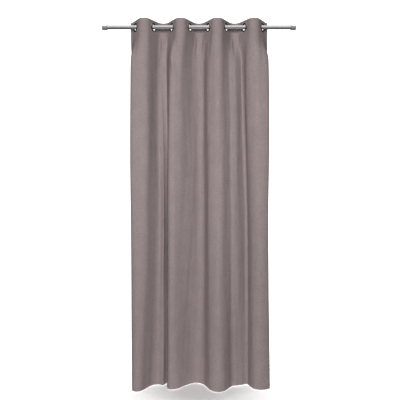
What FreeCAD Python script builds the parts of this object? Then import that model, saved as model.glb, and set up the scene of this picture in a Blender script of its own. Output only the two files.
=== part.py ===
"""Eyelet curtain panel, hanging in even folds from a round rod with two end caps.

Frame: X along the rod, Y from the front of the curtain to its back, Z up.
The origin is on the rod's axis, halfway between the two bracket seats.
Sizes are in millimetres.

The cloth is one sheet in use. It is made here in pleats, one to each eyelet, which meet at the
folds: a pleat is a flat flank with the eyelet in its middle and a half fold at each end.
"""
import FreeCAD, Part
import math
import os

os.makedirs("parts", exist_ok=True)

Vector = FreeCAD.Vector

# Rod and end caps
rod_diameter = 28.0
rod_wall = 1.0
rod_length = 1336.0  # the tube alone
cap_diameter = 36.0
cap_length = 36.0
cap_overlap = 18.0  # how far a cap slides over the tube
cap_end_wall = 3.0
cap_edge_round = 1.5
plug_depth_in_rod = 26.0
plug_wall = 2.0
cap_clearance = 0.15  # radial, between tube and cap, and round the plug

# Cloth
pleat_count = 8  # one eyelet to a pleat
drop = 2600.0  # top edge to hem
cloth_thickness = 1.0
tape_thickness = 0.8
layer_gap = 0.15  # between sewn layers
flank_angle = 55.0  # how steeply a flank crosses the rod, seen from above
flank_length = 92.5
fold_radius = 46.0
side_margin = 67.0  # along the cloth, from an end eyelet's centre to the side edge
most_gather = 35.0  # how far each pleat turns when the curtain is drawn right back
fold_clearance = 0.4  # left between two pleats at the fold when it is drawn back
tape_inset = 2.0  # the heading tape stops short of the band's edges
bottom_hem = 80.0
side_hem = 25.0

# Eyelets
rod_play = 1.465  # round the rod inside an eyelet, beyond what the eyelet's slant takes up
eyelet_flange = 11.0  # a ring's width, bore to outer edge
heading_margin = 19.0  # cloth above the rings, and below them down to the heading's stitches
eyelet_rise = 2.8  # how far a ring's crown stands off the cloth
eyelet_rim = 0.6  # a ring's thickness at its outer edge
eyelet_lip = 0.4  # a ring's thickness at its bore
neck_wall = 1.2
neck_clearance = 0.2  # between the neck and what it passes through
seat_clearance = 0.1  # between a ring and the cloth
eyelet_hang = 2.49  # an eyelet's centre is this far under the rod's axis, as it bears on its lips

# Care label
label_width = 30.0
label_height = 45.0
label_thickness = 0.3
label_above_hem = 160.0

# Sizes that follow from the ones above
rod_radius = rod_diameter / 2
tilt = math.radians(flank_angle)
heading_thickness = 2 * cloth_thickness + tape_thickness + 2 * layer_gap
eyelet_half_depth = heading_thickness / 2 + seat_clearance + eyelet_lip
slanted_rod = rod_radius / math.sin(tilt) + eyelet_half_depth / math.tan(tilt)
eyelet_bore_radius = slanted_rod + rod_play
eyelet_outer_radius = eyelet_bore_radius + eyelet_flange
eyelet_below_top = eyelet_outer_radius + heading_margin
heading_height = 2 * eyelet_below_top
pleat_half = flank_length / 2 + fold_radius * tilt  # along the cloth, eyelet to fold
eyelet_pitch = flank_length * math.cos(tilt) + 2 * fold_radius * math.sin(tilt)
fold_gap = heading_thickness / 2 * math.tan(math.radians(most_gather)) + fold_clearance
top = eyelet_below_top - eyelet_hang
hem = top - drop

# Layers of the cloth, each as its front and back distance behind the middle of the heading
face_front = -heading_thickness / 2
face_back = face_front + cloth_thickness
face_layer = (face_front, face_back)
hem_layer = (face_back + layer_gap, face_back + layer_gap + cloth_thickness)
tape_layer = (face_back + layer_gap, face_back + layer_gap + tape_thickness)
facing_layer = (heading_thickness / 2 - cloth_thickness, heading_thickness / 2)


def save(shape, name):
    shape.exportStep("parts/" + name + ".step")


def lean(number):
    """-1 for a pleat that comes forward from left to right, 1 for one that goes back."""
    return -1 if number % 2 else 1


def eyelet_x(number):
    return (number - (pleat_count + 1) / 2) * eyelet_pitch


def cloth_point(number, along, behind):
    """A point of pleat NUMBER in plan, ALONG the cloth from its eyelet and BEHIND its middle."""
    flat = min(abs(along), flank_length / 2)
    angle = tilt - (abs(along) - flat) / fold_radius
    x = flat * math.cos(tilt) + fold_radius * (math.sin(tilt) - math.sin(angle))
    y = flat * math.sin(tilt) + fold_radius * (math.cos(angle) - math.cos(tilt))
    way = 1 if along >= 0 else -1
    turn = lean(number) * angle
    return Vector(
        eyelet_x(number) + way * x - behind * math.sin(turn),
        way * lean(number) * y + behind * math.cos(turn),
        0,
    )


def cloth_edges(number, start, end, behind):
    """The line and arcs that a layer of pleat NUMBER follows from START to END."""
    corners = [s for s in (-flank_length / 2, flank_length / 2) if start < s < end]
    stops = [start] + corners + [end]
    edges = []
    for a, b in zip(stops, stops[1:]):
        p, middle, q = (cloth_point(number, s, behind) for s in (a, (a + b) / 2, b))
        if abs(a + b) < flank_length:
            edges.append(Part.LineSegment(p, q).toShape())
        else:
            edges.append(Part.Arc(p, middle, q).toShape())
    return edges


def strip(number, start, end, layer, low, high):
    """A layer of pleat NUMBER as a solid, from START to END along it and LOW to HIGH."""
    front, back = layer
    near = cloth_edges(number, start, end, front)
    far = cloth_edges(number, start, end, back)
    sides = [
        Part.LineSegment(cloth_point(number, s, front), cloth_point(number, s, back)).toShape()
        for s in (start, end)
    ]
    wire = Part.Wire(Part.__sortEdges__(near + far + sides))
    face = Part.Face(wire)
    face.translate(Vector(0, 0, low))
    return face.extrude(Vector(0, 0, high - low))


def reach(number):
    """Where pleat NUMBER starts and ends along the cloth, counted from its eyelet."""
    fold = pleat_half - fold_gap
    start = -side_margin if number == 1 else -fold
    end = side_margin if number == pleat_count else fold
    return start, end


def eyelet_axis(number):
    turn = lean(number) * tilt
    return Vector(-math.sin(turn), math.cos(turn), 0)


def eyelet_centre(number):
    return Vector(eyelet_x(number), 0, -eyelet_hang)


def eyelet_hole(number):
    radius = eyelet_bore_radius + neck_wall + neck_clearance
    length = 4 * heading_thickness
    axis = eyelet_axis(number)
    return Part.makeCylinder(radius, length, eyelet_centre(number) - axis * (length / 2), axis)


def cloth(number):
    """The face of one pleat with its heading and hems turned over to the back."""
    start, end = reach(number)
    across = (face_front, hem_layer[1])
    pieces = [
        strip(number, start, end, face_layer, hem, top),
        strip(number, start, end, facing_layer, top - heading_height, top),
        strip(number, start, end, (face_front, facing_layer[1]), top - cloth_thickness, top),
        strip(number, start, end, hem_layer, hem, hem + bottom_hem),
        strip(number, start, end, across, hem, hem + cloth_thickness),
    ]
    turned_edges = []
    if number == 1:
        turned_edges.append((start, start + side_hem, start, start + cloth_thickness))
    if number == pleat_count:
        turned_edges.append((end - side_hem, end, end - cloth_thickness, end))
    under_heading = top - heading_height - layer_gap
    for hem_start, hem_end, turn_start, turn_end in turned_edges:
        pieces.append(strip(number, hem_start, hem_end, hem_layer, hem, under_heading))
        pieces.append(strip(number, turn_start, turn_end, across, hem, under_heading))
    whole = pieces[0].fuse(pieces[1:]).removeSplitter()
    return whole.cut(eyelet_hole(number))


def heading_tape(number):
    """The stiff band between the face and the turned-over heading."""
    start, end = reach(number)
    if number == 1:
        start += tape_inset
    if number == pleat_count:
        end -= tape_inset
    low = top - heading_height + tape_inset
    high = top - cloth_thickness - layer_gap
    return strip(number, start, end, tape_layer, low, high).cut(eyelet_hole(number))


def turned(edges, number):
    """A ring from its half section, drawn with X outwards and Z along the eyelet's axis."""
    section = Part.Face(Part.Wire(edges))
    ring = section.revolve(Vector(0, 0, 0), Vector(0, 0, 1), 360)
    ring.Placement = FreeCAD.Placement(
        eyelet_centre(number), FreeCAD.Rotation(Vector(0, 0, 1), eyelet_axis(number))
    )
    return ring


def outline(points, crown_start):
    """Straight edges through POINTS, except the arc over the crown, which takes three of them."""
    edges = []
    i = 0
    while i < len(points):
        if i == crown_start:
            a, b, c = (points[(i + step) % len(points)] for step in range(3))
            edges.append(Part.Arc(a, b, c).toShape())
            i += 2
        else:
            edges.append(Part.LineSegment(points[i], points[(i + 1) % len(points)]).toShape())
            i += 1
    return edges


def front_ring(number):
    """The front half of an eyelet, with the neck that passes through the cloth."""
    seat = -heading_thickness / 2 - seat_clearance
    crown = (eyelet_bore_radius + eyelet_outer_radius) / 2
    neck_outer = eyelet_bore_radius + neck_wall
    points = [
        Vector(eyelet_bore_radius, 0, -eyelet_half_depth),
        Vector(crown, 0, seat - eyelet_rise),
        Vector(eyelet_outer_radius, 0, seat - eyelet_rim),
        Vector(eyelet_outer_radius, 0, seat),
        Vector(neck_outer, 0, seat),
        Vector(neck_outer, 0, eyelet_half_depth),
        Vector(eyelet_bore_radius, 0, eyelet_half_depth),
    ]
    return turned(outline(points, 0), number)


def back_ring(number):
    """The back half of an eyelet, which snaps over the neck."""
    seat = heading_thickness / 2 + seat_clearance
    inner = eyelet_bore_radius + neck_wall + seat_clearance
    crown = (inner + eyelet_outer_radius) / 2
    points = [
        Vector(inner, 0, seat + eyelet_lip),
        Vector(crown, 0, seat + eyelet_rise),
        Vector(eyelet_outer_radius, 0, seat + eyelet_rim),
        Vector(eyelet_outer_radius, 0, seat),
        Vector(inner, 0, seat),
    ]
    return turned(outline(points, 0), number)


def care_label():
    """A plain cloth tab sewn to the back of the right-hand side hem."""
    front = hem_layer[1] + layer_gap
    layer = (front, front + label_thickness)
    end = side_margin - cloth_thickness
    low = hem + label_above_hem
    return strip(pleat_count, end - label_width, end, layer, low, low + label_height)


def along_rod(shape, side):
    """Turns a shape built up the Z axis so that it points along X, to SIDE."""
    shape.rotate(Vector(0, 0, 0), Vector(0, 1, 0), 90 * side)
    return shape


def rod_tube():
    tube = Part.makeCylinder(rod_radius, rod_length)
    tube = tube.cut(Part.makeCylinder(rod_radius - rod_wall, rod_length))
    tube.translate(Vector(0, 0, -rod_length / 2))
    return along_rod(tube, 1)


def plug_radius():
    return rod_radius - rod_wall - cap_clearance


def end_cap(side):
    """A cup that covers the tube's end and holds the plug."""
    mouth = rod_length / 2 - cap_overlap
    cup = Part.makeCylinder(cap_diameter / 2, cap_length)
    rims = [e for e in cup.Edges if e.Closed]
    cup = cup.makeFillet(cap_edge_round, rims)
    socket = Part.makeCylinder(rod_radius + cap_clearance, cap_overlap + cap_clearance)
    well = Part.makeCylinder(plug_radius() + cap_clearance, cap_length - cap_end_wall)
    cup = cup.cut(socket).cut(well)
    cup.translate(Vector(0, 0, mouth))
    return along_rod(cup, side)


def cap_plug(side):
    """The hollow plug that grips the inside of the tube and of the cap."""
    length = plug_depth_in_rod + cap_length - cap_overlap - cap_end_wall - cap_clearance
    plug = Part.makeCylinder(plug_radius(), length)
    hollow = Part.makeCylinder(plug_radius() - plug_wall, length - plug_wall)
    plug = plug.cut(hollow)
    plug.translate(Vector(0, 0, rod_length / 2 - plug_depth_in_rod))
    return along_rod(plug, side)


save(rod_tube(), "rod_tube")
for side, word in ((-1, "left"), (1, "right")):
    save(end_cap(side), "end_cap_" + word)
    save(cap_plug(side), "cap_plug_" + word)

for number in range(1, pleat_count + 1):
    save(cloth(number), "cloth_%d" % number)
    save(heading_tape(number), "heading_tape_%d" % number)
    save(front_ring(number), "eyelet_front_%d" % number)
    save(back_ring(number), "eyelet_back_%d" % number)
save(care_label(), "care_label")
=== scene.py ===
"""Looks of the eyelet curtain panel: folded suede-like cloth, polished eyelets, rod and end caps."""
import math

import bpy
import numpy as np
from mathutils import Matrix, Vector


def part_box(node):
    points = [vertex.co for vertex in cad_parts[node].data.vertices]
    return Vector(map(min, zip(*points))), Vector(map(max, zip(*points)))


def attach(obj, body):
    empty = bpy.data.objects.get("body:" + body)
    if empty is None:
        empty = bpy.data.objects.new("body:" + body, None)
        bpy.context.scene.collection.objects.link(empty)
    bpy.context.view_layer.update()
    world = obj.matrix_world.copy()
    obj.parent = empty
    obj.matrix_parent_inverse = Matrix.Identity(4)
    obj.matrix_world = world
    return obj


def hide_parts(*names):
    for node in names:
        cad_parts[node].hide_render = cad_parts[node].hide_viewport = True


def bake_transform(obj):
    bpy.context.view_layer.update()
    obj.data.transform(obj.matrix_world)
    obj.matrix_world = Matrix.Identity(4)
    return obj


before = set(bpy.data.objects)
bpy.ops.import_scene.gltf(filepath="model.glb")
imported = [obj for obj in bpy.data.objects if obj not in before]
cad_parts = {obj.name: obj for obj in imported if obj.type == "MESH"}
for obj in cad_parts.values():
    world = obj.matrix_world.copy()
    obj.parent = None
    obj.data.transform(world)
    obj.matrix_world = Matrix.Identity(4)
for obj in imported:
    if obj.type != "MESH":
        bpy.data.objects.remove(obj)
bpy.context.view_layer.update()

# Sizes of the cloth, in metres, as in the CAD source
PLEATS = 8
FLANK_ANGLE = math.radians(55)
FLANK_LENGTH = 0.0925
FOLD_RADIUS = 0.046
SIDE_MARGIN = 0.067
CLOTH_THICKNESS = 0.001
HEADING_THICKNESS = 0.0031
HEM_BACK = 0.0006  # the back of a turned hem, behind the heading's middle
BOTTOM_HEM = 0.08
SIDE_HEM = 0.025
HOLE_RADIUS = 0.0222
LABEL_SIZE = (0.03, 0.045)
LABEL_THICKNESS = 0.0003
LABEL_ABOVE_HEM = 0.16
LABEL_GAP = 0.0001  # between the label's front and the hem behind it
LABEL_LIFT = 0.0025  # how far its free end stands off
EDGE_ROUND = 0.75  # how far a free edge bulges, as a share of half its thickness

# The grid that the cloth is made of
HEADING_CELLS = 20  # down the heading
FINE_ROWS_TO = -0.45  # the height down to which the creases need close rows
BODY_ROWS = 100  # between there and the bottom hem
FOLD_CELLS = 20  # across one fold
LINE_STEPS = 24  # samples of a curve between two of its points

# Stitches, in metres
STITCH_PITCH = 0.005
STITCH_LENGTH = 0.0036
THREAD_RADIUS = 0.0004
THREAD_SIDES = 6
STITCH_PROFILE = ((0, 0.45), (0.14, 1), (0.86, 1), (1, 0.45))  # shares of its length and radius
SEAM_INSET = 0.003  # from a turned edge to its row of stitches

# Slow waves in the cloth: (length across, length down, height), in metres
WAVES = ((0.16, 2.2, 0.0007), (0.09, 1.3, 0.0004), (0.05, 0.6, 0.0002))
WAVE_SEED = 7

FACE_FRONT = -HEADING_THICKNESS / 2
FACE_BACK = FACE_FRONT + CLOTH_THICKNESS
HALF_PLEAT = FLANK_LENGTH / 2 + FOLD_RADIUS * FLANK_ANGLE
PLEAT = 2 * HALF_PLEAT
WIDTH = 2 * SIDE_MARGIN + (PLEATS - 1) * PLEAT

# Places read from the frame
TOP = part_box("cloth_1")[1].z
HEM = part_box("cloth_1")[0].z


def eyelet_centre(number):
    front_low, front_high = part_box(f"eyelet_front_{number}")
    back_low, back_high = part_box(f"eyelet_back_{number}")
    low = Vector(map(min, front_low, back_low))
    high = Vector(map(max, front_high, back_high))
    return (low + high) / 2


EYELETS = {k: eyelet_centre(k) for k in range(1, PLEATS + 1)}
EYELET_Z = EYELETS[1].z
HEADING_LOW = 2 * EYELET_Z - TOP

# How the folds hang below the heading, seen from above: for three heights, the cloth's line from
# its left edge to its right edge, in metres. Each row runs from one mid-flank to the next.
CHEST_Z, KNEE_Z = -0.24, -1.44
AT_CHEST = [
    [(-0.482, 0.046), (-0.481, 0.004), (-0.4775, -0.034), (-0.466, -0.047), (-0.440, -0.0555),
     (-0.400, -0.0580), (-0.364, -0.046), (-0.322, 0.006)],
    [(-0.296, 0.044), (-0.268, 0.0585), (-0.234, 0.054), (-0.2180, 0.006)],
    [(-0.202, -0.045), (-0.185, -0.056), (-0.160, -0.057), (-0.125, -0.048), (-0.080, 0.000)],
    [(-0.050, 0.030), (-0.010, 0.054), (0.016, 0.056), (0.036, 0.044), (0.0520, 0.010)],
    [(0.066, -0.018), (0.090, -0.041), (0.127, -0.0580), (0.155, -0.050), (0.196, -0.010)],
    [(0.213, 0.003), (0.232, 0.006), (0.258, 0.012), (0.284, 0.030), (0.305, 0.042), (0.322, 0.020)],
    [(0.334, -0.014), (0.360, -0.040), (0.400, -0.0565), (0.438, -0.052), (0.466, -0.044),
     (0.482, -0.036), (0.4885, -0.022), (0.4895, 0.016), (0.488, 0.054)],
]
AT_KNEE = [
    [(-0.472, 0.046), (-0.477, 0.004), (-0.4750, -0.034), (-0.464, -0.047), (-0.440, -0.0545),
     (-0.402, -0.0575), (-0.368, -0.046), (-0.330, -0.002)],
    [(-0.305, 0.025), (-0.283, 0.037), (-0.267, 0.030), (-0.255, 0.018), (-0.240, 0.042),
     (-0.219, 0.064), (-0.212, 0.040), (-0.2160, 0.008)],
    [(-0.2205, -0.020), (-0.216, -0.039), (-0.200, -0.052), (-0.178, -0.053), (-0.150, -0.040),
     (-0.105, -0.012), (-0.078, 0.003)],
    [(-0.045, 0.025), (-0.010, 0.050), (0.014, 0.055), (0.036, 0.042), (0.053, 0.008)],
    [(0.068, -0.022), (0.094, -0.042), (0.132, -0.0590), (0.160, -0.055), (0.204, -0.022)],
    [(0.226, -0.006), (0.249, -0.005), (0.276, 0.004), (0.304, 0.026), (0.330, 0.046),
     (0.348, 0.044)],
    [(0.361, 0.012), (0.378, -0.018), (0.416, -0.044), (0.450, -0.044), (0.470, -0.037),
     (0.482, -0.030), (0.4875, -0.018), (0.4870, 0.018), (0.484, 0.055)],
]
AT_HEM = [
    [(-0.455, 0.046), (-0.467, 0.004), (-0.4675, -0.038), (-0.457, -0.054), (-0.436, -0.060),
     (-0.408, -0.051), (-0.366, -0.005)],
    [(-0.340, 0.024), (-0.312, 0.039), (-0.286, 0.041), (-0.270, 0.036), (-0.259, 0.029),
     (-0.246, 0.048), (-0.223, 0.066), (-0.215, 0.044), (-0.2200, 0.016)],
    [(-0.2235, 0.000), (-0.220, -0.014), (-0.208, -0.026), (-0.190, -0.029), (-0.160, -0.022),
     (-0.125, 0.004), (-0.098, 0.028)],
    [(-0.065, 0.052), (-0.022, 0.063), (0.015, 0.055), (0.042, 0.032), (0.058, 0.000)],
    [(0.072, -0.028), (0.096, -0.052), (0.130, -0.066), (0.166, -0.056), (0.208, -0.016)],
    [(0.236, 0.018), (0.262, 0.026), (0.300, 0.034), (0.332, 0.046), (0.350, 0.044)],
    [(0.364, 0.012), (0.388, -0.022), (0.430, -0.036), (0.460, -0.032), (0.482, -0.024),
     (0.4965, -0.014), (0.4975, 0.022), (0.489, 0.058)],
]

# Creases: (flat place and height of one end, of the other end, half width, rise), in metres
CREASES = [
    (0.316, -0.057, 0.316, -0.230, 0.007, 0.0030),
    (0.333, -0.056, 0.330, -0.190, 0.006, -0.0055),
    (0.352, -0.057, 0.346, -0.260, 0.008, 0.0035),
    (0.372, -0.060, 0.366, -0.170, 0.006, -0.0030),
    (0.440, -0.056, 0.498, -0.400, 0.007, -0.0055),
    (0.460, -0.060, 0.520, -0.460, 0.010, 0.0040),
    (0.486, -0.075, 0.548, -0.420, 0.008, -0.0035),
    (0.676, -0.056, 0.668, -0.230, 0.006, 0.0030),
    (0.690, -0.056, 0.684, -0.180, 0.006, -0.0050),
    (0.708, -0.057, 0.702, -0.200, 0.006, 0.0030),
    (0.724, -0.057, 0.716, -0.170, 0.006, -0.0045),
    (0.744, -0.060, 0.738, -0.260, 0.008, 0.0030),
    (0.812, -0.060, 0.824, -0.260, 0.008, -0.0030),
    (1.036, -0.056, 1.030, -0.240, 0.007, 0.0035),
    (1.054, -0.056, 1.050, -0.160, 0.006, -0.0045),
    (1.074, -0.058, 1.068, -0.230, 0.007, 0.0030),
    (1.092, -0.060, 1.090, -0.180, 0.006, -0.0035),
    (0.100, -0.070, 0.116, -0.460, 0.009, -0.0025),
    (1.292, -0.070, 1.280, -0.420, 0.009, -0.0030),
    (0.185, -0.400, 0.205, -1.250, 0.016, 0.0014),
    (0.560, -0.500, 0.590, -1.500, 0.018, 0.0016),
    (0.905, -0.700, 0.890, -1.800, 0.016, -0.0014),
    (1.190, -0.500, 1.165, -1.600, 0.016, 0.0016),
    (0.620, -1.600, 0.600, -2.500, 0.018, -0.0014),
    (0.950, -1.900, 0.972, -2.520, 0.017, 0.0016),
    (1.230, -1.700, 1.262, -2.500, 0.018, -0.0014),
]


def columns_and_seams():
    """The cloth's columns, as flat distances from the left edge, and each seam's column."""
    beside = (0.0, 0.001, 0.005, 0.010, 0.015, 0.020, 0.025, 0.030, 0.035, 0.040)  # an eyelet's middle
    near_edge = (0.0, 0.0012, 0.006, 0.012, 0.018, 0.0243, 0.0252)  # the last two hold the hem's step
    places = set(near_edge) | {WIDTH - s for s in near_edge}
    for k in range(PLEATS):
        middle = SIDE_MARGIN + k * PLEAT
        places |= {middle + s for s in beside} | {middle - s for s in beside}
        if k < PLEATS - 1:
            fold = np.linspace(middle + beside[-1], middle + PLEAT - beside[-1], FOLD_CELLS + 1)
            places |= set(fold[1:-1])
    columns = np.array(sorted(places))
    columns = columns[np.concatenate([[True], np.diff(columns) > 1e-6])]
    seams = [int(np.abs(columns - SIDE_MARGIN - k * PLEAT).argmin()) for k in range(1, PLEATS - 1)]
    return columns, [0] + seams + [len(columns) - 1]


def heights():
    """The cloth's rows, from the top down, with a close pair at each step in its thickness."""
    step = (TOP - HEADING_LOW) / HEADING_CELLS
    rows = [TOP - step * i for i in range(HEADING_CELLS + 1)]
    rows[0] = TOP - HEADING_THICKNESS * 0.3
    rows += [HEADING_LOW - 0.0007, HEADING_LOW - 0.005]
    rows += list(np.arange(HEADING_LOW - 0.015, FINE_ROWS_TO, -0.01))
    fold = HEM + BOTTOM_HEM
    rows += list(np.linspace(rows[-1] - 0.02, fold + 0.012, BODY_ROWS))
    rows += [fold + 0.0008, fold, fold - 0.004]
    rows += list(np.linspace(fold - 0.016, HEM + 0.004, 5))
    rows.append(HEM + 0.0008)
    return np.array(rows)


COLUMNS, SEAMS = columns_and_seams()
ROWS = heights()


def heading_line(flat):
    """Where the cloth runs inside the heading, seen from above."""
    number = int(np.clip(round((flat - SIDE_MARGIN) / PLEAT), 0, PLEATS - 1)) + 1
    along = flat - SIDE_MARGIN - (number - 1) * PLEAT
    straight = min(abs(along), FLANK_LENGTH / 2)
    angle = FLANK_ANGLE - (abs(along) - straight) / FOLD_RADIUS
    x = straight * math.cos(FLANK_ANGLE) + FOLD_RADIUS * (math.sin(FLANK_ANGLE) - math.sin(angle))
    y = straight * math.sin(FLANK_ANGLE) + FOLD_RADIUS * (math.cos(angle) - math.cos(FLANK_ANGLE))
    way = 1 if along >= 0 else -1
    lean = -1 if number % 2 else 1
    return EYELETS[number].x + way * x, way * lean * y


def smooth_line(points):
    """A centripetal Catmull-Rom curve through the points, with LINE_STEPS samples a run."""
    p = np.array(points, float)
    p = np.vstack([2 * p[0] - p[1], p, 2 * p[-1] - p[-2]])
    t = np.concatenate([[0], np.cumsum(np.linalg.norm(np.diff(p, axis=0), axis=1) ** 0.5)])
    out = []
    for i in range(1, len(p) - 2):
        last = i == len(p) - 3
        s = np.linspace(t[i], t[i + 1], LINE_STEPS + 1)[: None if last else -1, None]
        a1 = ((t[i] - s) * p[i - 1] + (s - t[i - 1]) * p[i]) / (t[i] - t[i - 1])
        a2 = ((t[i + 1] - s) * p[i] + (s - t[i]) * p[i + 1]) / (t[i + 1] - t[i])
        a3 = ((t[i + 2] - s) * p[i + 1] + (s - t[i + 1]) * p[i + 2]) / (t[i + 2] - t[i + 1])
        b1 = ((t[i + 1] - s) * a1 + (s - t[i - 1]) * a2) / (t[i + 1] - t[i - 1])
        b2 = ((t[i + 2] - s) * a2 + (s - t[i]) * a3) / (t[i + 2] - t[i])
        out.append(((t[i + 1] - s) * b1 + (s - t[i]) * b2) / (t[i + 1] - t[i]))
    return np.vstack(out)


def level_line(level):
    """The cloth's line at one height, with a point for each column."""
    line = smooth_line([p for row in level for p in row])
    along = np.concatenate([[0], np.cumsum(np.linalg.norm(np.diff(line, axis=0), axis=1))])
    out = np.zeros((len(COLUMNS), 2))
    first, counted = 0, -1
    for k, row in enumerate(level):
        counted += len(row)
        last = counted * LINE_STEPS
        a, b = SEAMS[k], SEAMS[k + 1]
        share = (COLUMNS[a : b + 1] - COLUMNS[a]) / (COLUMNS[b] - COLUMNS[a])
        at = along[first] + share * (along[last] - along[first])
        for axis in range(2):
            out[a : b + 1, axis] = np.interp(at, along, line[:, axis])
        first = last
    return out


def hanging_surface():
    """The middle of the heading's thickness, carried down to the hem: columns by rows by XYZ."""
    lines = np.stack([
        np.array([heading_line(s) for s in COLUMNS]),
        level_line(AT_CHEST),
        level_line(AT_KNEE),
        level_line(AT_HEM),
    ])
    z = np.array([HEADING_LOW, CHEST_Z, KNEE_Z, HEM])
    slope = np.zeros_like(lines)
    slope[1] = (lines[2] - lines[0]) / (z[2] - z[0])
    slope[2] = (lines[3] - lines[1]) / (z[3] - z[1])
    slope[3] = (lines[3] - lines[2]) / (z[3] - z[2])
    surface = np.zeros((len(COLUMNS), len(ROWS), 3))
    for j, height in enumerate(ROWS):
        surface[:, j, 2] = height
        if height >= HEADING_LOW:
            surface[:, j, :2] = lines[0]
            continue
        i = int(np.clip(np.searchsorted(-z, -height) - 1, 0, 2))
        run = z[i + 1] - z[i]
        t = (height - z[i]) / run
        surface[:, j, :2] = (
            (2 * t**3 - 3 * t**2 + 1) * lines[i]
            + (t**3 - 2 * t**2 + t) * run * slope[i]
            + (3 * t**2 - 2 * t**3) * lines[i + 1]
            + (t**3 - t**2) * run * slope[i + 1]
        )
    return surface


def backwards(surface):
    """The surface's unit normals, towards the back of the curtain."""
    across = np.gradient(surface, COLUMNS, axis=0)
    down = np.gradient(surface, ROWS, axis=1)
    normal = np.cross(down, across)
    return normal / np.linalg.norm(normal, axis=2, keepdims=True)


def smoothstep(t):
    t = np.clip(t, 0, 1)
    return t * t * (3 - 2 * t)


def wrinkles():
    """How far the cloth stands off its smooth line: creases under the eyelets and slow waves."""
    flat, height = np.meshgrid(COLUMNS, ROWS, indexing="ij")
    total = np.zeros_like(flat)
    for flat_1, z_1, flat_2, z_2, half_width, rise in CREASES:
        run = (height - z_1) / (z_2 - z_1)
        middle = flat_1 + run * (flat_2 - flat_1)
        along = smoothstep(run * 6) * smoothstep((1 - run) * 2)
        width = half_width * (1 + 0.8 * np.clip(run, 0, 1))
        total += rise * along * np.exp(-(((flat - middle) / width) ** 2))
    chance = np.random.default_rng(WAVE_SEED)
    free = smoothstep((HEADING_LOW - height) / 0.5)
    for wave_flat, wave_z, rise in WAVES:
        for _ in range(3):
            a, b, c, d = chance.uniform(0, 2 * math.pi, 4)
            stretch = chance.uniform(0.8, 1.25, 2)
            total += rise * free * (
                np.sin(2 * math.pi * flat / (wave_flat * stretch[0]) + a + 0.9 * np.sin(height + b))
                * np.sin(2 * math.pi * height / (wave_z * stretch[1]) + c + 1.1 * np.sin(3 * flat + d))
            )
    return -total


def back_of_cloth():
    """How far behind the heading's middle the back surface is, with its turned edges.

    The small amounts put each step between the two close rows or columns that are there for it.
    """
    flat, height = np.meshgrid(COLUMNS, ROWS, indexing="ij")
    from_edge = np.minimum(flat, WIDTH - flat)
    back = np.full_like(flat, FACE_BACK)
    back[(from_edge < SIDE_HEM - 0.0005) | (height < HEM + BOTTOM_HEM + 0.0004)] = HEM_BACK
    back[height > HEADING_LOW - 0.0003] = HEADING_THICKNESS / 2
    return back


MIDDLE = hanging_surface()
MIDDLE = MIDDLE + backwards(MIDDLE) * wrinkles()[..., None]
NORMAL = backwards(MIDDLE)


def open_eyelets(points):
    """Draws the grid round each eyelet into a circle, and says which cells are inside the hole."""
    inner, outer = 0.020, 0.040  # half widths of the squares where the change is whole and where it ends
    level = HEADING_CELLS // 2  # the row through the eyelets' middles
    inside = np.zeros((len(COLUMNS) - 1, len(ROWS) - 1), bool)
    rows = (ROWS[:-1] + ROWS[1:]) / 2
    columns = (COLUMNS[:-1] + COLUMNS[1:]) / 2
    moved = points.copy()
    for k in range(PLEATS):
        middle = SIDE_MARGIN + k * PLEAT
        inside |= (np.abs(columns - middle) < inner)[:, None] & (np.abs(rows - EYELET_Z) < inner)
        tangent = (points[np.abs(COLUMNS - middle - inner).argmin(), level]
                   - points[np.abs(COLUMNS - middle + inner).argmin(), level]) / (2 * inner)
        for i in np.nonzero(np.abs(COLUMNS - middle) < outer - 1e-6)[0]:
            for j in np.nonzero(np.abs(ROWS - EYELET_Z) < outer - 1e-6)[0]:
                a, h = COLUMNS[i] - middle, ROWS[j] - EYELET_Z
                reach = max(abs(a), abs(h))
                if reach < inner - 0.0005:
                    continue
                keep = min(1.0, max(0.0, (reach - inner) / (outer - inner)))
                scale = HOLE_RADIUS / math.hypot(a, h)
                new_a = a * (keep + (1 - keep) * scale)
                new_h = h * (keep + (1 - keep) * scale)
                moved[i, j] = points[i, j] + tangent * (new_a - a) + np.array([0, 0, new_h - h])
    return moved, inside


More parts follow.
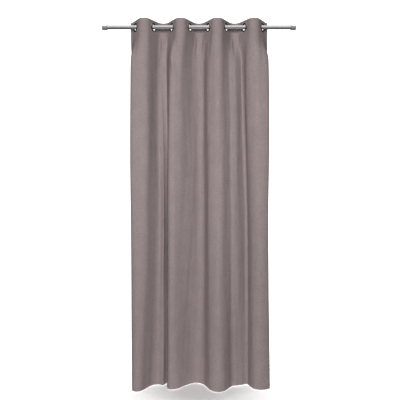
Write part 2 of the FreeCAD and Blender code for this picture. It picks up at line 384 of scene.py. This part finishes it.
def cloth_mesh(name, first, last):
    """One closed sheet between two columns, with its front, its back and rounded free edges."""
    part = slice(first, last + 1)
    count, deep = last - first + 1, len(ROWS)
    front = FRONT[part].reshape(-1, 3)
    back = BACK[part].reshape(-1, 3)
    hole = IN_HOLE[first:last]
    total = count * deep
    faces, border = [], {}  # the border is a dict because it keeps its edges in order
    for i in range(count - 1):
        for j in range(deep - 1):
            if hole[i, j]:
                continue
            a, b = i * deep + j, (i + 1) * deep + j
            faces.append((a, a + 1, b + 1, b))
            faces.append((total + a, total + b, total + b + 1, total + a + 1))
            for edge in ((a, a + 1), (a + 1, b + 1), (b + 1, b), (b, a)):
                if (edge[1], edge[0]) in border:
                    del border[(edge[1], edge[0])]
                else:
                    border[edge] = True
    free_sides = {0: first == 0, count - 1: last == len(COLUMNS) - 1}
    middles, extra = {}, []

    def middle_of(v):
        if v not in middles:
            i, j = divmod(v, deep)
            half = np.linalg.norm(back[v] - front[v]) / 2
            out = np.zeros(3)
            if j == 0:
                out[2] += half * EDGE_ROUND
            if j == deep - 1:
                out[2] -= half * EDGE_ROUND
            if free_sides.get(i):
                inward = front[v + deep] if i == 0 else front[v - deep]
                away = front[v] - inward
                out += away / np.linalg.norm(away) * half * EDGE_ROUND
            middles[v] = 2 * total + len(extra)
            extra.append((front[v] + back[v]) / 2 + out)
        return middles[v]

    sharp = set()
    for a, b in border:
        ma, mb = middle_of(a), middle_of(b)
        faces.append((b, a, ma, mb))
        faces.append((mb, ma, total + a, total + b))
        ia, ja = divmod(a, deep)
        ib, jb = divmod(b, deep)
        on_edge = ja == jb == 0 or ja == jb == deep - 1 or (ia == ib and free_sides.get(ia))
        if not on_edge:
            sharp |= {(min(a, b), max(a, b)), (total + min(a, b), total + max(a, b))}
    points = np.vstack([front, back, np.array(extra)])
    flat_place = np.stack(np.meshgrid(COLUMNS[part], ROWS, indexing="ij"), axis=2).reshape(-1, 2)
    flat_place = np.vstack([flat_place, flat_place, flat_place[list(middles)]])
    used = np.zeros(len(points), bool)
    used[[v for f in faces for v in f]] = True
    new = np.cumsum(used) - 1
    mesh = bpy.data.meshes.new(name)
    mesh.from_pydata(points[used].tolist(), [], [[int(new[v]) for v in f] for f in faces])
    mesh.polygons.foreach_set("use_smooth", [True] * len(mesh.polygons))
    ends = np.zeros(len(mesh.edges) * 2, np.int32)
    mesh.edges.foreach_get("vertices", ends)
    wanted = {(int(new[a]), int(new[b])) for a, b in sharp if used[a] and used[b]}
    mark = [(min(a, b), max(a, b)) in wanted for a, b in ends.reshape(-1, 2).tolist()]
    mesh.attributes.new("sharp_edge", "BOOLEAN", "EDGE").data.foreach_set("value", mark)
    corners = np.zeros(len(mesh.loops), np.int32)
    mesh.loops.foreach_get("vertex_index", corners)
    flat_map = mesh.uv_layers.new(name="flat")
    flat_map.data.foreach_set("uv", flat_place[used][corners].astype(np.float32).ravel())
    mesh.update()
    thing = bpy.data.objects.new(name, mesh)
    bpy.context.scene.collection.objects.link(thing)
    return thing


def bend_with_pleats(thing):
    """Bakes the piece's placement into its mesh; the piece is not tied to the pleats."""
    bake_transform(thing)


def on_surface(grid, flat, height):
    """The point of a grid of the cloth at a flat place and height."""
    i = int(np.clip(np.searchsorted(COLUMNS, flat) - 1, 0, len(COLUMNS) - 2))
    j = int(np.clip(np.searchsorted(-ROWS, -height) - 1, 0, len(ROWS) - 2))
    a = (flat - COLUMNS[i]) / (COLUMNS[i + 1] - COLUMNS[i])
    b = (height - ROWS[j]) / (ROWS[j + 1] - ROWS[j])
    upper = grid[i, j] * (1 - a) + grid[i + 1, j] * a
    lower = grid[i, j + 1] * (1 - a) + grid[i + 1, j + 1] * a
    return upper * (1 - b) + lower * b


def smooth_mesh(name, points, faces, sharp_angle=None):
    """A smooth-shaded object, with the edges sharper than SHARP_ANGLE kept sharp if it is given."""
    mesh = bpy.data.meshes.new(name)
    mesh.from_pydata([tuple(p) for p in points], [], faces)
    mesh.polygons.foreach_set("use_smooth", [True] * len(mesh.polygons))
    mesh.update()
    if sharp_angle is not None:
        mesh.set_sharp_from_angle(angle=sharp_angle)
    thing = bpy.data.objects.new(name, mesh)
    bpy.context.scene.collection.objects.link(thing)
    return thing


def sewing_thread(name, seams):
    """Separate stitches along straight seams: each seam has a grid, one end and the other end."""
    sides, rings = THREAD_SIDES, len(STITCH_PROFILE)
    points, faces = [], []
    for grid, (flat_1, z_1), (flat_2, z_2) in seams:
        length = math.hypot(flat_2 - flat_1, z_2 - z_1)
        along = np.array([flat_2 - flat_1, z_2 - z_1]) / length
        for n in range(int(length / STITCH_PITCH)):
            middle = np.array([flat_1, z_1]) + along * STITCH_PITCH * (n + 0.5)
            ends = [on_surface(grid, *(middle + along * STITCH_LENGTH * s)) for s in (-0.5, 0.5)]
            run = (ends[1] - ends[0]) / np.linalg.norm(ends[1] - ends[0])
            out = on_surface(NORMAL, *middle)
            out = out - run * np.dot(out, run)
            out /= np.linalg.norm(out)
            across = np.cross(run, out)
            base = len(points)
            for share, fat in STITCH_PROFILE:
                centre = ends[0] * (1 - share) + ends[1] * share
                for step in range(sides):
                    angle = 2 * math.pi * step / sides
                    spoke = out * math.cos(angle) + across * math.sin(angle)
                    points.append(centre + THREAD_RADIUS * fat * spoke)
            for ring in range(rings - 1):
                for step in range(sides):
                    a, b = base + ring * sides + step, base + ring * sides + (step + 1) % sides
                    faces.append((a, b, b + sides, a + sides))
            faces.append(tuple(base + step for step in reversed(range(sides))))
            faces.append(tuple(base + (rings - 1) * sides + step for step in range(sides)))
    return smooth_mesh(name, points, faces)


def care_label(name):
    """A small plain label, sewn by its top edge behind the side hem, with its free end a little off."""
    across, rows = 7, 10
    flat = WIDTH - 0.001 - LABEL_SIZE[0] * np.linspace(1, 0, across)
    height = HEM + LABEL_ABOVE_HEM + LABEL_SIZE[1] * np.linspace(1, 0, rows)
    points = []
    for layer in (LABEL_GAP, LABEL_GAP + LABEL_THICKNESS):
        for s in flat:
            for t, z in enumerate(height):
                off = layer + LABEL_LIFT * (t / (rows - 1)) ** 2
                points.append(on_surface(SEWN_BACK, s, z) + on_surface(NORMAL, s, z) * off)
    count = across * rows
    faces = []
    for i in range(across - 1):
        for j in range(rows - 1):
            a, b = i * rows + j, (i + 1) * rows + j
            faces.append((a, a + 1, b + 1, b))
            faces.append((count + a, count + b, count + b + 1, count + a + 1))
    border = list(range(rows))
    border += [i * rows + rows - 1 for i in range(1, across)]
    border += [(across - 1) * rows + j for j in range(rows - 2, -1, -1)]
    border += [i * rows for i in range(across - 2, 0, -1)]
    for a, b in zip(border, border[1:] + border[:1]):
        faces.append((b, a, count + a, count + b))
    return smooth_mesh(name, points, faces, sharp_angle=math.radians(40))


# ---------------------------------------------------------------- materials

def new_material(name):
    material = bpy.data.materials.new(name)
    material.use_nodes = True
    nodes = material.node_tree.nodes
    return material, nodes, material.node_tree.links, nodes["Principled BSDF"]


def add(nodes, kind, **inputs):
    node = nodes.new(kind)
    for key, value in inputs.items():
        if key in node.inputs:
            node.inputs[key].default_value = value
        else:
            setattr(node, key, value)
    return node


def ramp(nodes, links, source, stops):
    node = nodes.new("ShaderNodeValToRGB")
    elements = node.color_ramp.elements
    elements[0].position, elements[0].color = stops[0]
    elements[1].position, elements[1].color = stops[-1]
    for place, colour in stops[1:-1]:
        elements.new(place).color = colour
    links.new(source, node.inputs["Fac"])
    return node.outputs["Color"]


def grey(value):
    return (value, value, value, 1)


def math_node(nodes, links, operation, *values):
    """A Math node's output, where each value is a number or another node's output."""
    node = nodes.new("ShaderNodeMath")
    node.operation = operation
    for socket, value in zip(node.inputs, values):
        if isinstance(value, (int, float)):
            socket.default_value = value
        else:
            links.new(value, socket)
    return node.outputs["Value"]


def map_range(nodes, links, source, from_low, from_high, to_low=0.0, to_high=1.0):
    node = nodes.new("ShaderNodeMapRange")
    node.inputs["From Min"].default_value = from_low
    node.inputs["From Max"].default_value = from_high
    node.inputs["To Min"].default_value = to_low
    node.inputs["To Max"].default_value = to_high
    links.new(source, node.inputs["Value"])
    return node.outputs["Result"]


def cloth_material():
    """Brushed suede-like weave: mottled nap, a fine plain weave under it and a soft sheen."""
    material, nodes, links, shader = new_material("suede_cloth")
    place = add(nodes, "ShaderNodeUVMap", uv_map="flat").outputs["UV"]

    def noise(scale, detail, stretch, roughness=0.55):
        mapping = nodes.new("ShaderNodeMapping")
        mapping.inputs["Scale"].default_value = (stretch[0], stretch[1], 1)
        links.new(place, mapping.inputs["Vector"])
        node = add(nodes, "ShaderNodeTexNoise", Scale=scale, Detail=detail, Roughness=roughness)
        links.new(mapping.outputs["Vector"], node.inputs["Vector"])
        return node.outputs["Fac"]

    clouds = noise(14, 4, (1, 0.8))
    nap = noise(95, 5, (0.55, 1.3), 0.65)
    hair = noise(900, 3, (0.7, 1.2), 0.7)
    waves = []
    for axis in ("X", "Y"):
        wave = add(nodes, "ShaderNodeTexWave", Scale=210, Distortion=1.2, Detail=1)
        wave.wave_type, wave.bands_direction = "BANDS", axis
        links.new(place, wave.inputs["Vector"])
        waves.append(wave.outputs["Fac"])

    def calculate(operation, a, b):
        return math_node(nodes, links, operation, a, b)

    tone = calculate("ADD", calculate("MULTIPLY", clouds, 0.3), calculate("MULTIPLY", nap, 0.7))
    colour = ramp(nodes, links, tone, [
        (0.32, (0.266, 0.228, 0.228, 1)),
        (0.50, (0.296, 0.254, 0.254, 1)),
        (0.68, (0.328, 0.282, 0.281, 1)),
    ])
    links.new(colour, shader.inputs["Base Color"])
    rough = ramp(nodes, links, nap, [(0.3, grey(0.94)), (0.7, grey(0.80))])
    links.new(rough, shader.inputs["Roughness"])
    shader.inputs["Specular IOR Level"].default_value = 0.18
    shader.inputs["Sheen Weight"].default_value = 0.06
    shader.inputs["Sheen Roughness"].default_value = 0.5
    shader.inputs["Sheen Tint"].default_value = (0.86, 0.80, 0.79, 1)
    weave = calculate("MAXIMUM", waves[0], waves[1])
    fine = calculate("ADD", calculate("MULTIPLY", weave, 0.5), calculate("MULTIPLY", hair, 0.5))
    soft_bump = add(nodes, "ShaderNodeBump", Strength=0.30, Distance=0.0016)
    links.new(nap, soft_bump.inputs["Height"])
    bump = add(nodes, "ShaderNodeBump", Strength=0.35, Distance=0.0003)
    links.new(fine, bump.inputs["Height"])
    links.new(soft_bump.outputs["Normal"], bump.inputs["Normal"])
    links.new(bump.outputs["Normal"], shader.inputs["Normal"])
    return material


def chrome_material(name, tint, roughness):
    """Polished plated metal with faint haze and hairline polishing marks."""
    material, nodes, links, shader = new_material(name)
    place = nodes.new("ShaderNodeTexCoord").outputs["Object"]
    haze = add(nodes, "ShaderNodeTexNoise", Scale=26, Detail=3, Roughness=0.5)
    links.new(place, haze.inputs["Vector"])
    lines = nodes.new("ShaderNodeMapping")
    lines.inputs["Scale"].default_value = (3, 60, 60)
    links.new(place, lines.inputs["Vector"])
    marks = add(nodes, "ShaderNodeTexNoise", Scale=22, Detail=4, Roughness=0.6)
    links.new(lines.outputs["Vector"], marks.inputs["Vector"])
    dull = [c * 0.93 for c in tint]
    colour = ramp(nodes, links, haze.outputs["Fac"], [(0.35, (*dull, 1)), (0.65, (*tint, 1))])
    links.new(colour, shader.inputs["Base Color"])
    rough = ramp(nodes, links, marks.outputs["Fac"],
                 [(0.3, grey(roughness * 0.75)), (0.75, grey(roughness * 1.35))])
    links.new(rough, shader.inputs["Roughness"])
    shader.inputs["Metallic"].default_value = 1.0
    return material


def plain_material(name, low, high, scale, roughness):
    """A moulded or woven surface with a fine grain."""
    material, nodes, links, shader = new_material(name)
    place = nodes.new("ShaderNodeTexCoord").outputs["Object"]
    grain = add(nodes, "ShaderNodeTexNoise", Scale=scale, Detail=4, Roughness=0.6)
    links.new(place, grain.inputs["Vector"])
    colour = ramp(nodes, links, grain.outputs["Fac"], [(0.3, (*low, 1)), (0.7, (*high, 1))])
    links.new(colour, shader.inputs["Base Color"])
    shader.inputs["Roughness"].default_value = roughness
    bump = add(nodes, "ShaderNodeBump", Strength=0.25, Distance=0.0003)
    links.new(grain.outputs["Fac"], bump.inputs["Height"])
    links.new(bump.outputs["Normal"], shader.inputs["Normal"])
    return material


def dress(thing, material):
    """Gives a new object its material."""
    thing.data.materials.append(material)


def dress_cad(thing, material):
    """Gives a CAD object a better material in the slots that it has, with its mesh left alone."""
    for slot in thing.material_slots:
        slot.material = material


# ---------------------------------------------------------------- pieces

FRONT = MIDDLE + NORMAL * FACE_FRONT
BACK = MIDDLE + NORMAL * back_of_cloth()[..., None]
SEWN_BACK = MIDDLE + NORMAL * HEM_BACK
FRONT, IN_HOLE = open_eyelets(FRONT)
BACK = open_eyelets(BACK)[0]

cloth_look = cloth_material()
thread_look = plain_material("sewing_thread", (0.25, 0.205, 0.20), (0.31, 0.26, 0.255), 700, 0.75)
label_look = plain_material("label_tape", (0.72, 0.71, 0.69), (0.80, 0.79, 0.77), 500, 0.7)
heading_seam = HEADING_LOW + SEAM_INSET
hem_seam = HEM + BOTTOM_HEM - SEAM_INSET
side_seam = SIDE_HEM - SEAM_INSET
side_seam_top, side_seam_end = heading_seam - 0.01, HEM + 0.004
for k in range(1, PLEATS):
    first, last = SEAMS[k - 1], SEAMS[k]
    sheet = cloth_mesh(f"curtain_cloth_{k}", first, last)
    dress(sheet, cloth_look)
    bend_with_pleats(sheet)
    stood_for = [f"cloth_{k}", f"heading_tape_{k}"]
    if k == PLEATS - 1:
        stood_for += [f"cloth_{PLEATS}", f"heading_tape_{PLEATS}"]
    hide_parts(*stood_for)
    left = COLUMNS[first] + SEAM_INSET * (k == 1)
    right = COLUMNS[last] - SEAM_INSET * (k == PLEATS - 1)
    seams = [(grid, (left, z), (right, z))
             for grid, z in ((FRONT, heading_seam), (BACK, heading_seam), (SEWN_BACK, hem_seam))]
    if k == 1:
        seams.append((SEWN_BACK, (side_seam, side_seam_top), (side_seam, side_seam_end)))
    if k == PLEATS - 1:
        at = WIDTH - side_seam
        seams.append((SEWN_BACK, (at, side_seam_top), (at, side_seam_end)))
    thread = sewing_thread(f"sewing_thread_{k}", seams)
    dress(thread, thread_look)
    bend_with_pleats(thread)

label = care_label("care_label_tape")
dress(label, label_look)
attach(label, f"pleat_{PLEATS}")
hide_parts("care_label")

rod_look = chrome_material("polished_rod", (0.74, 0.74, 0.75), 0.09)
cap_look = chrome_material("polished_cap", (0.74, 0.74, 0.75), 0.08)
ring_look = chrome_material("polished_eyelet", (0.60, 0.60, 0.61), 0.12)
plug_look = plain_material("moulded_plug", (0.60, 0.60, 0.59), (0.68, 0.68, 0.67), 300, 0.5)
for name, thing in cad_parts.items():
    if name.startswith("eyelet"):
        dress_cad(thing, ring_look)
    elif name.startswith("rod"):
        dress_cad(thing, rod_look)
    elif name.startswith("end_cap"):
        dress_cad(thing, cap_look)
    elif name.startswith("cap_plug"):
        dress_cad(thing, plug_look)


# ---------------------------------------------------------------- stage, light and camera

FLOOR_BELOW_HEM = 0.004
FLOOR_FADE = (0.15, 1.0)  # the distances from its middle where the fade starts and ends
LIGHTS = (  # name, place from the cloth's middle, height of its aim above the middle, size, watts
    ("key_light", (-0.25, -3.9, 0.75), 0.1, (1.4, 2.8), 158),
    ("left_light", (-3.2, 0.9, 0.3), 0, (1.2, 2.6), 20),
    ("right_light", (3.2, 0.9, 0.3), 0, (1.2, 2.6), 20),
    ("back_light", (0.4, 3.6, 0.5), 0, (1.6, 2.6), 130),
)
ROOM_STRENGTH = 1.15  # of the room that the metal reflects
FILL_STRENGTH = 0.04  # of the light from all round
ROOM_BANDS = (  # share of the turn round the rod, brightness
    (0.00, 0.35), (0.10, 0.06), (0.25, 0.03), (0.33, 0.32), (0.43, 0.42), (0.48, 0.08),
    (0.55, 0.10), (0.60, 1.0), (0.73, 1.0), (0.77, 0.12), (0.90, 0.05), (1.00, 0.35),
)
CAMERA_ASIDE = 0.007
CAMERA_DISTANCE = 3.0
CAMERA_ABOVE_HEM = 1.498


def floor():
    """A pale round floor just under the hem, which fades out towards its rim."""
    radius, sides = 1.6, 64
    mesh = bpy.data.meshes.new("floor")
    ring = [(radius * math.cos(a), radius * math.sin(a), 0)
            for a in np.linspace(0, 2 * math.pi, sides, endpoint=False)]
    mesh.from_pydata(ring, [], [list(range(sides))])
    thing = bpy.data.objects.new("floor", mesh)
    thing.location.z = HEM - FLOOR_BELOW_HEM
    bpy.context.scene.collection.objects.link(thing)
    material, nodes, links, shader = new_material("pale_floor")
    shader.inputs["Base Color"].default_value = (0.9, 0.9, 0.9, 1)
    shader.inputs["Roughness"].default_value = 0.75
    shader.inputs["Specular IOR Level"].default_value = 0.2
    length = nodes.new("ShaderNodeVectorMath")
    length.operation = "LENGTH"
    links.new(nodes.new("ShaderNodeTexCoord").outputs["Object"], length.inputs[0])
    fade = map_range(nodes, links, length.outputs["Value"], *FLOOR_FADE, 1.0, 0.0)
    links.new(fade, shader.inputs["Alpha"])
    dress(thing, material)


def area_light(name, place, aim, size, power):
    light = bpy.data.lights.new(name, "AREA")
    light.shape = "RECTANGLE"
    light.size, light.size_y = size
    light.energy = power
    thing = bpy.data.objects.new(name, light)
    thing.location = place
    direction = Vector(aim) - Vector(place)
    thing.rotation_euler = direction.to_track_quat("-Z", "Y").to_euler()
    thing.visible_glossy = False
    bpy.context.scene.collection.objects.link(thing)


def lights():
    """A broad soft front light, two weak side lights and one behind, round the cloth's middle."""
    middle = (TOP + HEM) / 2
    for name, (x, y, up), aim_up, size, power in LIGHTS:
        area_light(name, (x, y, middle + up), (0, 0, middle + aim_up), size, power)


def reflected_room(nodes, links):
    """What the polished metal reflects: bright and dark bands round the rod, darker to the sides."""
    direction = nodes.new("ShaderNodeTexCoord").outputs["Generated"]
    split = nodes.new("ShaderNodeSeparateXYZ")
    links.new(direction, split.inputs["Vector"])
    ahead = math_node(nodes, links, "MULTIPLY", split.outputs["Y"], -1.0)
    turn = math_node(nodes, links, "ARCTAN2", split.outputs["Z"], ahead)
    round_rod = map_range(nodes, links, turn, -math.pi, math.pi)
    room = ramp(nodes, links, round_rod, [(place, grey(value)) for place, value in ROOM_BANDS])
    sideways = math_node(nodes, links, "ABSOLUTE", split.outputs["X"])
    side = map_range(nodes, links, sideways, 0.35, 0.70, 1.0, 0.12)
    shaded = nodes.new("ShaderNodeVectorMath")
    shaded.operation = "SCALE"
    links.new(room, shaded.inputs[0])
    links.new(side, shaded.inputs["Scale"])
    return shaded.outputs["Vector"]


def studio():
    """A white backdrop to the eye, with a greyer room for light and reflections."""
    world = bpy.data.worlds.new("studio")
    bpy.context.scene.world = world
    world.use_nodes = True
    nodes, links = world.node_tree.nodes, world.node_tree.links
    nodes.clear()

    def background(strength, colour=None):
        node = nodes.new("ShaderNodeBackground")
        node.inputs["Strength"].default_value = strength
        if colour is None:
            node.inputs["Color"].default_value = grey(1.0)
        else:
            links.new(colour, node.inputs["Color"])
        return node.outputs["Background"]

    def choose(seen_by, others, seen):
        mix = nodes.new("ShaderNodeMixShader")
        links.new(path.outputs[seen_by], mix.inputs["Fac"])
        links.new(others, mix.inputs[1])
        links.new(seen, mix.inputs[2])
        return mix.outputs["Shader"]

    path = nodes.new("ShaderNodeLightPath")
    room = background(ROOM_STRENGTH, reflected_room(nodes, links))
    look = choose("Is Glossy Ray", background(FILL_STRENGTH), room)
    look = choose("Is Camera Ray", look, background(1.0))
    output = nodes.new("ShaderNodeOutputWorld")
    links.new(look, output.inputs["Surface"])


def display():
    """The exposure and the contrast of the picture."""
    view = bpy.context.scene.view_settings
    view.view_transform = "Standard"
    view.exposure = 0.61
    view.gamma = 0.72


def camera():
    """A level camera straight in front, a little above the cloth's middle."""
    data = bpy.data.cameras.new("camera")
    data.sensor_width = 36
    data.lens = 38.07
    data.shift_y = -0.06
    data.clip_end = 50
    thing = bpy.data.objects.new("camera", data)
    thing.location = (CAMERA_ASIDE, -CAMERA_DISTANCE, HEM + CAMERA_ABOVE_HEM)
    thing.rotation_euler = (math.pi / 2, 0, 0)
    bpy.context.scene.collection.objects.link(thing)
    bpy.context.scene.camera = thing


floor()
studio()
lights()
display()
camera()
